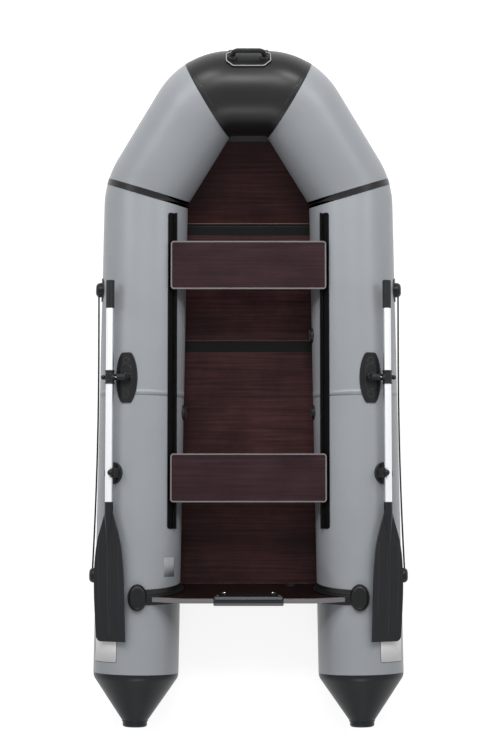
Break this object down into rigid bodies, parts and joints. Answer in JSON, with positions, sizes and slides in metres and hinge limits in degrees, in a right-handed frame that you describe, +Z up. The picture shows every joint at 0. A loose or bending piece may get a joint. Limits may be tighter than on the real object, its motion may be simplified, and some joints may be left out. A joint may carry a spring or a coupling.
{
  "type": "inflatable motor dinghy",
  "caption": "Inflatable dinghy with raised bow tubes, stern cones, ply floor and raked transom, sliding bench seats and oars stowed in swivelling rowlocks.",
  "frame": {"origin": "on the ground under the middle of the boat", "axes": "+X to starboard, +Y towards the bow, +Z up"},
  "size_m": [1.4188, 3.0007, 0.5285],
  "materials": {
    "black_plastic": "matte",
    "black_rubber": "matte",
    "pvc_grey": "satin",
    "pvc_black": "satin",
    "anti_slip_ply": "matte",
    "black_rope": "matte",
    "steel": "satin",
    "aluminium_tube": "satin",
    "seat_ply": "satin",
    "grey_edging": "satin",
    "rail_black": "satin",
    "cone_black": "satin",
    "transom_ply": "satin"
  },
  "bodies": {
    "hull": {"air_valve_bow": "black_plastic", "air_valve_left": "black_plastic", "air_valve_right": "black_plastic", "bow_handle": "black_rubber", "bow_tube_centre": "pvc_grey", "bow_tube_left": "pvc_grey", "bow_tube_right": "pvc_grey", "drain_valve": "black_plastic", "floor_hinges": "pvc_black", "floor_panel_bow": "anti_slip_ply", "floor_panel_front": "anti_slip_ply", "floor_panel_middle": "anti_slip_ply", "floor_panel_stern": "anti_slip_ply", "grab_line_left": "black_rope", "grab_line_right": "black_rope", "hull_bottom": "pvc_black", "motor_plate_inner": "black_plastic", "motor_plate_outer": "black_plastic", "oar_rest_left": "black_rubber", "oar_rest_right": "black_rubber", "rope_eye_front_left": "black_rubber", "rope_eye_front_right": "black_rubber", "rope_eye_rear_left": "black_rubber", "rope_eye_rear_right": "black_rubber", "rowlock_base_left": "black_rubber", "rowlock_base_right": "black_rubber", "seam_band_left": "pvc_black", "seam_band_right": "pvc_black", "seat_rail_left": "rail_black", "seat_rail_right": "rail_black", "side_tube_left": "pvc_grey", "side_tube_right": "pvc_grey", "stern_cone_left": "cone_black", "stern_cone_right": "cone_black", "transom_board": "transom_ply", "transom_edge": "grey_edging", "transom_holder_left": "black_rubber", "transom_holder_right": "black_rubber"},
    "seat_front": {"seat_front_board": "seat_ply", "seat_front_edging": "grey_edging", "seat_front_runners": "black_plastic"},
    "seat_rear": {"seat_rear_board": "seat_ply", "seat_rear_edging": "grey_edging", "seat_rear_runners": "black_plastic"},
    "rowlock_lug_left": {"rowlock_lug_left": "black_plastic"},
    "rowlock_lug_right": {"rowlock_lug_right": "black_plastic"},
    "oar_left": {"oar_blade_left": "black_plastic", "oar_collar_left": "black_plastic", "oar_grip_left": "black_plastic", "oar_pin_left": "steel", "oar_shaft_left": "aluminium_tube"},
    "oar_right": {"oar_blade_right": "black_plastic", "oar_collar_right": "black_plastic", "oar_grip_right": "black_plastic", "oar_pin_right": "steel", "oar_shaft_right": "aluminium_tube"}
  },
  "joints": [
    {"name": "seat_front_slide", "type": "slide", "parent": "hull", "child": "seat_front", "axis": [0, 0.9998, 0.0207], "range_m": [-0.3, 0.13]},
    {"name": "seat_rear_slide", "type": "slide", "parent": "hull", "child": "seat_rear", "axis": [0, 0.9998, 0.0207], "range_m": [-0.12, 0.4]},
    {"name": "rowlock_swivel_left", "type": "hinge", "parent": "hull", "child": "rowlock_lug_left", "pos_m": [-0.53683, 0.033, 0.36736], "axis": [0.3156, 0, -0.9489], "range_deg": [0, 140]},
    {"name": "rowlock_swivel_right", "type": "hinge", "parent": "hull", "child": "rowlock_lug_right", "pos_m": [0.53683, 0.033, 0.36736], "axis": [0.3156, 0, 0.9489], "range_deg": [0, 140]},
    {"name": "oar_lift_left", "type": "hinge", "parent": "rowlock_lug_left", "child": "oar_left", "pos_m": [-0.609, 0.033, 0.38551], "axis": [-0.9489, 0, -0.3156], "range_deg": [0, 21]},
    {"name": "oar_lift_right", "type": "hinge", "parent": "rowlock_lug_right", "child": "oar_right", "pos_m": [0.609, 0.033, 0.38551], "axis": [-0.9489, 0, 0.3156], "range_deg": [0, 21]}
  ],
  "couplings": [
    {"joint": "oar_lift_left", "follows": "rowlock_swivel_left", "ratio": 0.15},
    {"joint": "oar_lift_right", "follows": "rowlock_swivel_right", "ratio": 0.15}
  ]
}
